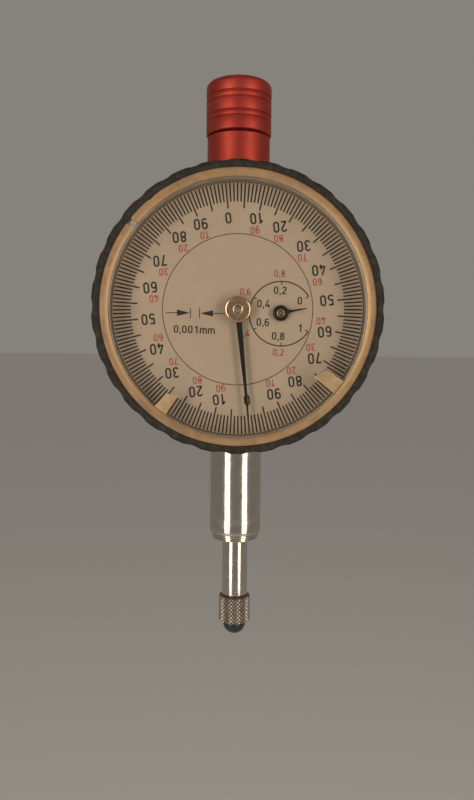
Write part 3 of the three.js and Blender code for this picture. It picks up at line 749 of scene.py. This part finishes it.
for number, (character, (_, strokes)) in enumerate(FIGURES.items()):
    drawn = []
    for stroke in strokes:
        if len(stroke) == 2:
            drawn.append(printed_bar("stroke", *stroke, STROKE, ORIGIN))
        else:
            centre, radius, first, last = stroke
            drawn.append(printed_arc("stroke", centre, radius, STROKE, first, last, 12, ORIGIN))
    masters[character] = join(drawn, f"master_{number}")


def printed_text(name, words, place, height, turn, spread=1.0):
    """Figures of a given height, centred on a place in mm from the dial centre, turned by turn."""
    reached, line = 0.0, []
    for character in words:
        twin = copy_of(masters[character], name)
        twin.location.x = reached * MM
        reached += FIGURES[character][0]
        line.append(twin)
    text = join(line, name)
    bpy.ops.object.origin_set(type="ORIGIN_GEOMETRY", center="BOUNDS")
    text.scale = (height * spread, 1, height)
    text.rotation_euler = (0, -radians(turn), 0)
    text.location = (place[0] * MM, (PRINT_FACE + PRINT_BACK) / 2 * MM, DIAL.z + place[1] * MM)
    bpy.ops.object.transform_apply(location=True, rotation=True, scale=True)
    return text


DIVISIONS, TICK_WIDTH = 200, 0.21
TICK_OUTER, TICK_INNER, LONG_TICK_INNER = 17.94, 15.33, 14.4
short_ticks = row_of_ticks(
    "short_ticks", DIVISIONS, TICK_INNER, TICK_OUTER, TICK_WIDTH, 90 + OUTER_TURN
)
long_ticks = row_of_ticks(
    "long_ticks", DIVISIONS // 5, LONG_TICK_INNER, TICK_INNER, TICK_WIDTH, 90 + OUTER_TURN
)
scale = join([short_ticks, long_ticks], "outer_scale")

# the figures stand nearly on a circle, those at the corners pushed a little outward and together
FIGURE_SHIFTS = [(0.0, 0.08), (0.02, 0.25), (0.42, 0.58), (0.17, 0.42), (0.20, 0.40), (0.08, 0.04)]
FIGURE_CIRCLE, FIGURE_HEIGHT = 13.0, 1.55
RED_SIDEWAYS, RED_INWARD, RED_HEIGHT = 0.38, 1.62, 1.04
black_figures, red_figures = [], []
for step in range(20):
    value = step % 10 * 10
    bearing = radians(18 * step)
    across, up = FIGURE_CIRCLE * sin(bearing), FIGURE_CIRCLE * cos(bearing)
    side, level = (1 if across > 0 else -1), (1 if up > 0 else -1)
    together, outward = FIGURE_SHIFTS[min(step % 10, 10 - step % 10)]
    across, up = across - together * side, up + outward * level
    place = on_dial(0, 0, FIGURE_TURN, (across, up))
    black_figures.append(
        printed_text(f"figure_{step}", str(value), place, FIGURE_HEIGHT, FIGURE_TURN)
    )
    if value in (0, 50):
        continue
    red_at = (across - RED_SIDEWAYS * side, up - RED_INWARD * level)
    place = on_dial(0, 0, FIGURE_TURN, red_at)
    red_figures.append(
        printed_text(f"red_figure_{step}", str(100 - value), place, RED_HEIGHT, FIGURE_TURN)
    )
outer_black = join([scale, *black_figures], "outer_black_print")
black_ink.put_on(outer_black)
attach(outer_black, "bezel")
outer_red = join(red_figures, "outer_red_print")
red_ink.put_on(outer_red)
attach(outer_red, "bezel")

# ---- Printing on the inner dial -----------------------------------------------------------------
# The turn counter's scale on the right, marked in parts of a millimetre both ways round, and on
# the left what one division is worth: two arrows that close on a gap. The disc sits turned a
# little on its feet.
SCALE_CENTRE = (6.30, -0.51)
SCALE_R = 4.63


counter_ink = [printed_arc("counter_arc", SCALE_CENTRE, SCALE_R, 0.165, 33, 327, 72)]
for angle in (33, 90, 150, 210, 270, 327):
    counter_ink.append(printed_bar(
        f"counter_tick_{angle}", on_dial(SCALE_R - 0.50, angle, 0, SCALE_CENTRE),
        on_dial(SCALE_R, angle, 0, SCALE_CENTRE), 0.14,
    ))
for words, place in (
    ("0,2", (6.08, 2.76)), ("0", (8.92, 1.39)), ("0,4", (3.69, 0.85)), ("0,6", (3.63, -1.82)),
    ("0,8", (5.87, -3.79)), ("1", (9.01, -2.54)),
):
    counter_ink.append(printed_text("counter_figure", words, place, 1.08, INNER_TURN, 1.08))

ARROW_LEVEL = -0.51
for name, tip_x, tail_x, rod_x, rise in (
    ("arrow_left", -6.89, -8.72, -10.29, 0.0), ("arrow_right", -5.38, -3.55, -1.60, -0.05),
):
    level = ARROW_LEVEL + rise
    counter_ink.append(printed_bar(name + "_line", (tail_x, level), (rod_x, level), 0.12))
    head = printed_bar(name + "_head", (tail_x, level), (tip_x, level), 0.92)
    pick(head, lambda place: abs(place.x - tip_x * MM) < 0.05 * MM)
    bpy.ops.transform.resize(
        value=(1, 1, 0.02), center_override=(tip_x * MM, 0, DIAL.z + level * MM)
    )
    bpy.ops.object.mode_set(mode="OBJECT")
    counter_ink.append(head)
for x in (-6.80, -5.49):
    counter_ink.append(
        printed_bar("gap_line", (x, ARROW_LEVEL + 0.70), (x, ARROW_LEVEL - 0.80), 0.11)
    )
counter_ink.append(printed_text("unit_words", "0,001mm", (-6.22, -2.98), 1.06, INNER_TURN, 1.13))
inner_black = join(counter_ink, "inner_black_print")
black_ink.put_on(inner_black)
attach(inner_black, "housing")

inner_red = join([
    printed_text("red_counter_figure", words, place, 1.00, INNER_TURN, 1.02)
    for words, place in (
        ("0,8", (5.96, 5.17)), ("0,6", (1.08, 2.51)),
        ("0,4", (0.93, -3.39)), ("0,2", (5.93, -6.11)),
    )
], "inner_red_print")
red_ink.put_on(inner_red)
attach(inner_red, "housing")
for master in masters.values():
    bpy.data.objects.remove(master, do_unlink=True)

# ---- Counter hand -------------------------------------------------------------------------------
# A short pressed hand with a round eye, riveted to its arbor; the rivet is left bright.
COUNTER = Vector((0.00615, 0, 0.02755))
hand_black = Finish("hand_black", (0.010, 0.008, 0.006), 0.2, 0.36)
hand_grain = hand_black.noise(hand_black.placed(), 4.0, 3)
hand_black.tint(hand_grain, (0.006, 0.005, 0.004), (0.014, 0.011, 0.008))
hand_black.roughness_from(hand_black.between(hand_grain, 0.28, 0.44))
hand_black.relief_from(hand_grain, 0.0015)


def blade(name, centre, angle, outline, front, back):
    """A flat tapering blade: half widths at distances from the centre, drawn out along an angle."""
    along = Vector((cos(radians(angle)), 0, sin(radians(angle))))
    across = Vector((-sin(radians(angle)), 0, cos(radians(angle))))
    (r0, w0) = outline[0]
    first = centre + along * r0 * MM + across * w0 * MM
    first.y = front * MM
    piece = start_from_a_point(name, first)
    bpy.ops.mesh.extrude_vertices_move(TRANSFORM_OT_translate={"value": across * -2 * w0 * MM})
    bpy.ops.mesh.select_all(action="SELECT")
    for (ra, wa), (rb, wb) in zip(outline, outline[1:]):
        bpy.ops.mesh.extrude_region_move(
            TRANSFORM_OT_translate={"value": along * (rb - ra) * MM}
        )
        middle = centre + along * rb * MM
        narrower = wb / wa
        bpy.ops.transform.resize(
            value=(narrower, narrower, narrower), center_override=(middle.x, front * MM, middle.z)
        )
    bpy.ops.mesh.select_all(action="SELECT")
    bpy.ops.mesh.extrude_region_move(
        TRANSFORM_OT_translate={"value": (0, (back - front) * MM, 0)}
    )
    close_and_leave_edit()
    return piece


counter_eye = turned("counter_eye", [
    (0.37, -9.12), (0.95, -9.16), (1.12, -9.10), (1.15, -8.98), (1.10, -8.95), (0.37, -8.95),
    (0.37, -9.12),
], COUNTER, "Y", 64)
counter_blade = blade(
    "counter_blade", COUNTER, 11,
    [(0.9, 0.52), (1.15, 0.34), (1.4, 0.20), (1.8, 0.14), (3.5, 0.075), (3.75, 0.03)], -9.12, -8.96,
)
carve(counter_eye, counter_blade, "UNION")
break_edges(counter_eye, 0.02)
hand_black.put_on(counter_eye)
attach(counter_eye, "counter")
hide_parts("counter_hand")

polished_nickel = Finish("polished_nickel", (0.66, 0.58, 0.50), 1.0, 0.16)
facing = polished_nickel.grooves(polished_nickel.placed(DIAL), "RINGS", "Y", 0.07)
rubbing = polished_nickel.noise(polished_nickel.placed(), 1.8, 3)
polished_nickel.roughness_from(polished_nickel.between(rubbing, 0.12, 0.24))
polished_nickel.tint(rubbing, (0.74, 0.49, 0.30), (0.86, 0.60, 0.39))
polished_nickel.relief_from(facing, 0.0004)
rivet = turned("counter_rivet", [
    (0.42, -9.12), (0.42, -9.25), (0.46, -9.29), (0.54, -9.29), (0.60, -9.22), (0.62, -9.12),
    (0.42, -9.12),
], COUNTER, "Y", 48)
break_edges(rivet, 0.015)
polished_nickel.put_on(rivet)
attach(rivet, "counter")

# ---- Long hand ----------------------------------------------------------------------------------
# The hand is a black blade gripped behind a polished boss with a warm tint. The boss is pushed on
# to the arbor, whose end shows as a dot in its middle.
HAND_ANGLE = -83.9
hand_hub = turned("hand_hub", [
    (1.02, -9.58), (1.60, -9.58), (1.65, -9.53), (1.65, -9.38), (1.02, -9.38), (1.02, -9.58),
], steps=64)
hand_blade = blade(
    "hand_blade", DIAL, HAND_ANGLE,
    [(1.3, 0.45), (2.4, 0.41), (9.0, 0.27), (13.5, 0.165), (15.6, 0.10), (16.0, 0.05)],
    -9.56, -9.40,
)
carve(hand_hub, hand_blade, "UNION")
break_edges(hand_hub, 0.03)
hand_black.put_on(hand_hub)
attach(hand_hub, "long_hand")
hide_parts("main_hand")

boss = turned("polished_boss", [
    (0.52, -9.95), (0.62, -10.12), (0.70, -10.15), (1.58, -10.15), (1.76, -10.10), (1.88, -9.98),
    (1.93, -9.84), (1.93, -9.66), (1.88, -9.60), (1.0, -9.60), (1.0, -8.75), (0.52, -8.75),
    (0.52, -9.95),
], steps=96)
break_edges(boss, 0.02)
polished_nickel.put_on(boss)
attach(boss, "long_hand")
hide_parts("hand_boss")

# ---- Bezel --------------------------------------------------------------------------------------
# The bezel is turned brass with the satin plating of the case. Its bore seats the dial and the
# crystal, and its skirt turns on the case.
bezel = turned("bezel_shell", [
    (18.6, -5.2), (19.28, -5.2), (19.58, -5.5), (19.58, -11.9), (18.55, -11.9), (18.55, -10.4),
    (18.1, -10.4), (18.1, -8.0), (17.4, -8.0), (17.4, -7.5), (18.6, -7.5), (18.6, -5.2),
], steps=180)
break_edges(bezel, 0.05)
satin_plating.put_on(bezel)
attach(bezel, "bezel")
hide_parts("bezel_ring")

# ---- Crystal ------------------------------------------------------------------------------------
# A flat disc of clear acrylic with a polished edge, sprung into the bezel under the front ring.
clear_acrylic = Finish("clear_acrylic", (0.03, 0.03, 0.03), 0.0, 0.03)
clear_acrylic.shader.inputs["Alpha"].default_value = 0.06
clear_acrylic.shader.inputs["IOR"].default_value = 1.49
smears = clear_acrylic.noise(clear_acrylic.placed(stretch=(1, 1, 0.4)), 0.25, 4)
clear_acrylic.roughness_from(clear_acrylic.between(smears, 0.02, 0.10))
crystal = turned("crystal_disc", [
    (0, -10.4), (18.42, -10.4), (18.5, -10.48), (18.5, -11.2), (18.3, -11.4), (0, -11.4),
], steps=128)
break_edges(crystal, 0.03)
clear_acrylic.put_on(crystal)
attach(crystal, "bezel")
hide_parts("crystal")

# ---- Tolerance markers --------------------------------------------------------------------------
# Two brass tabs held by friction between crystal and front ring. Each has a slanted inner end and
# is pushed round to mark a limit.
satin_brass = Finish("satin_brass", (0.86, 0.66, 0.42), 1.0, 0.34)
rolled = satin_brass.noise(satin_brass.placed(stretch=(5, 1, 1)), 2.0, 4)
fingered = satin_brass.noise(satin_brass.placed(), 0.9, 3)
satin_brass.tint(fingered, (0.74, 0.52, 0.29), (0.86, 0.65, 0.40))
satin_brass.roughness_from(satin_brass.between(rolled, 0.28, 0.42))
satin_brass.relief_from(rolled, 0.002)


def marker_tab(name, angle, long_side, reach, root_half, end_half):
    along = Vector((cos(radians(angle)), 0, sin(radians(angle))))
    across = Vector((-sin(radians(angle)), 0, cos(radians(angle))))
    slant = 0.77

    def corner(radius, side):
        place = DIAL + along * radius * MM + across * side * MM
        place.y = -11.85 * MM
        return place

    corners = [
        corner(18.4, -root_half), corner(18.4, root_half),
        corner(reach + (0 if long_side > 0 else slant), end_half),
        corner(reach + (slant if long_side > 0 else 0), -end_half),
    ]
    tab = start_from_a_point(name, corners[0])
    for here, there in zip(corners, corners[1:]):
        bpy.ops.mesh.extrude_vertices_move(TRANSFORM_OT_translate={"value": there - here})
    bpy.ops.mesh.select_all(action="SELECT")
    bpy.ops.mesh.edge_face_add()
    bpy.ops.mesh.extrude_region_move(TRANSFORM_OT_translate={"value": (0, 0.3 * MM, 0)})
    close_and_leave_edit()
    break_edges(tab, 0.06)
    satin_brass.put_on(tab)
    return tab


low_marker = marker_tab("low_marker_tab", 233, 1, 14.7, 1.0, 0.7)
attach(low_marker, "low_marker")
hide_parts("marker_low")
high_marker = marker_tab("high_marker_tab", 322.5, -1, 14.3, 1.07, 0.95)
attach(high_marker, "high_marker")
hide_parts("marker_high")

# ---- Front ring ---------------------------------------------------------------------------------
# A sprung split ring that holds the crystal in: a flat rim outside, a slope towards the dial. It
# is parted at the upper left, and has a round notch beside the gap for a pin to pry it out.
champagne = Finish("champagne_plating", (0.80, 0.62, 0.42), 1.0, 0.32)
brushing = champagne.grooves(champagne.placed(DIAL), "RINGS", "Y", 0.10, 1.2)
mottling = champagne.noise(champagne.placed(), 0.5, 4)
dirt = champagne.noise(champagne.placed(), 4.5, 3)
champagne.roughness_from(champagne.between(mottling, 0.44, 0.58))
champagne.tint(mottling, (0.40, 0.262, 0.150), (0.48, 0.325, 0.192))
champagne.relief_from(champagne.sum_of(dirt, brushing, 0.5), 0.004)

RING_GAP, PRY_NOTCH = 142, 129
front_ring = turned("split_ring", [
    (18.18, -11.95), (18.03, -12.02), (18.05, -12.12), (18.70, -12.35), (19.42, -12.35),
    (19.55, -12.22), (19.55, -11.95), (18.18, -11.95),
], steps=240)
bpy.ops.object.select_all(action="DESELECT")
bpy.ops.mesh.primitive_cube_add(size=1)
gap = bpy.context.object
gap.scale = (0.004, 0.004, 0.0009)
gap.rotation_euler = (0, -radians(RING_GAP), 0)
gap_x, gap_h = on_dial(18.8, RING_GAP)
gap.location = (gap_x * MM, -0.0122, DIAL.z + gap_h * MM)
bpy.ops.object.transform_apply(location=True, rotation=True, scale=True)
carve(front_ring, gap)
notch_x, notch_h = on_dial(20.15, PRY_NOTCH)
notch = turned("pry_notch", [(0, -13), (1.1, -13), (1.1, -11), (0, -11)],
               DIAL + Vector((notch_x * MM, 0, notch_h * MM)), "Y", 48)
carve(front_ring, notch)
break_edges(front_ring, 0.05)
champagne.put_on(front_ring)
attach(front_ring, "bezel")
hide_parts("front_ring")

# ---- Grip ring ----------------------------------------------------------------------------------
# Moulded black rubber stretched over the bezel, with thirty small lobes to turn it by and a lip
# that folds over the front ring.
GRIP_R = 20.39
LOBES = 30
SCALLOP_R, SCALLOP_DEPTH = 3.2, 0.28
grip = turned("rubber_grip", [
    (19.60, -5.4), (20.05, -5.4), (20.30, -5.55), (GRIP_R, -5.85), (GRIP_R, -12.05),
    (20.30, -12.35), (20.05, -12.6), (19.65, -12.7), (19.33, -12.66), (19.21, -12.52),
    (19.25, -12.42), (19.60, -12.38), (19.60, -5.4),
], steps=240)
scallop = turned("scallop", [(0, -14), (SCALLOP_R, -14), (SCALLOP_R, -4), (0, -4)],
                 DIAL + Vector(((GRIP_R - SCALLOP_DEPTH + SCALLOP_R) * MM, 0, 0)), "Y", 64)
bpy.ops.object.mode_set(mode="EDIT")
bpy.ops.mesh.select_all(action="SELECT")
bpy.ops.mesh.spin(steps=LOBES, angle=2 * pi, dupli=True, center=DIAL, axis=(0, 1, 0))
close_and_leave_edit()
carve(grip, scallop)
break_edges(grip, 0.10, 12, 3)

rubber = Finish("black_rubber", (0.020, 0.019, 0.017), 0.0, 0.72)
skin = rubber.noise(rubber.placed(), 7.0, 5)
dust = rubber.noise(rubber.placed(), 1.1, 4)
rubber.colour_from(rubber.blend(
    rubber.between(dust, 0, 1, 0.45, 0.75), (0.015, 0.0135, 0.011), (0.042, 0.036, 0.029)
))
rubber.roughness_from(rubber.between(skin, 0.62, 0.82))
rubber.relief_from(skin, 0.012)
rubber.shader.inputs["Specular IOR Level"].default_value = 0.35
rubber.put_on(grip)
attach(grip, "bezel")
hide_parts("grip_ring")

# ---- Back cover ---------------------------------------------------------------------------------
# A turned plate with a stepped rim, closed by four slotted screws over a rubber gasket.
rubber.put_on(nodes_of_cad["gasket"])
cover = turned("back_plate", [
    (0, 6.0), (17.5, 6.0), (17.7, 6.2), (17.7, 6.45), (17.35, 6.95), (17.0, 7.2), (12.6, 7.2),
    (12.5, 7.1), (12.3, 7.1), (12.2, 7.2), (0, 7.2),
], steps=180)
LUG_R = 14.95
SCREW_ANGLES, SLOT_TURNS = (35, 145, 215, 325), (30, 70, 110, 150)
for angle in SCREW_ANGLES:
    x, h = on_dial(LUG_R, angle)
    seat = turned("screw_seat", [
        (0, 5), (0.65, 5), (0.65, 6.6), (1.32, 6.6), (1.32, 7.1), (1.5, 7.3), (1.5, 8), (0, 8),
    ], DIAL + Vector((x * MM, 0, h * MM)), "Y", 48)
    carve(cover, seat)
break_edges(cover, 0.05)
satin_plating.put_on(cover)
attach(cover, "housing")
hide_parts("back_cover")

for number, (angle, slot_turn) in enumerate(zip(SCREW_ANGLES, SLOT_TURNS), start=1):
    x, h = on_dial(LUG_R, angle)
    centre = DIAL + Vector((x * MM, 0, h * MM))
    screw = turned(f"back_screw_{number}", [
        (0, 3.0), (0.42, 3.0), (0.5, 3.1), (0.5, 6.65), (1.2, 6.65), (1.2, 7.08), (1.08, 7.2),
        (0, 7.2),
    ], centre, "Y", 48)
    bpy.ops.object.select_all(action="DESELECT")
    bpy.ops.mesh.primitive_cube_add(size=1)
    slot = bpy.context.object
    slot.scale = (0.004, 0.0006, 0.0003)
    slot.rotation_euler = (0, radians(slot_turn), 0)
    slot.location = (centre.x, 0.0072, centre.z)
    bpy.ops.object.transform_apply(location=True, rotation=True, scale=True)
    carve(screw, slot)
    break_edges(screw, 0.03)
    screw_steel.put_on(screw)
    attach(screw, "housing")
    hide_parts(f"cover_screw_{number}")
